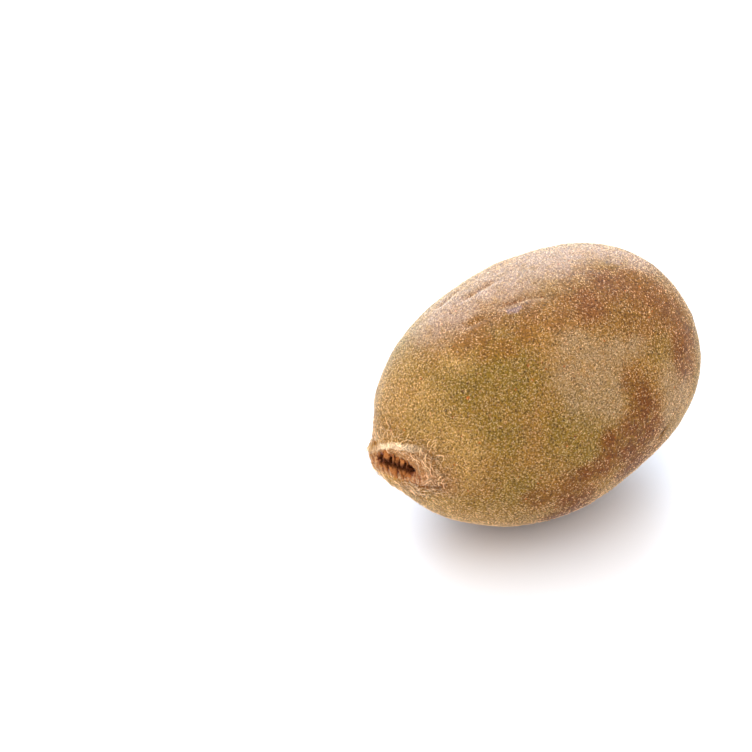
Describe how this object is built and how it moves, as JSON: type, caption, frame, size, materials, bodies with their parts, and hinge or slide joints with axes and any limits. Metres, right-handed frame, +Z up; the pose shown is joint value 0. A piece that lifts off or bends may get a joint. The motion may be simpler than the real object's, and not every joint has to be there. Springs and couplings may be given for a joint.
{
  "type": "golden kiwifruit",
  "caption": "Whole beaked golden kiwifruit lying on its side, with short tan fuzz, a slit of withered styles at the beak and a woody stalk button at the other end.",
  "frame": {"origin": "middle of the underside of the fruit's box, on the surface it lies on", "axes": "+Z up; the long axis runs along X, with the beak at -X and the stalk button at +X"},
  "size_m": [0.0718, 0.051, 0.0484],
  "materials": {
    "fuzzy_skin": "matt thin skin, olive gold to russet brown, under short pale tan fuzz",
    "withered_style": "dry, matt, dark brown with orange-brown tips",
    "stalk_wood": "dry, matt, dark brown, corky"
  },
  "bodies": {
    "root": {"fruit": "fuzzy_skin", "dried_styles": "withered_style", "stem_button": "stalk_wood"}
  },
  "joints": []
}
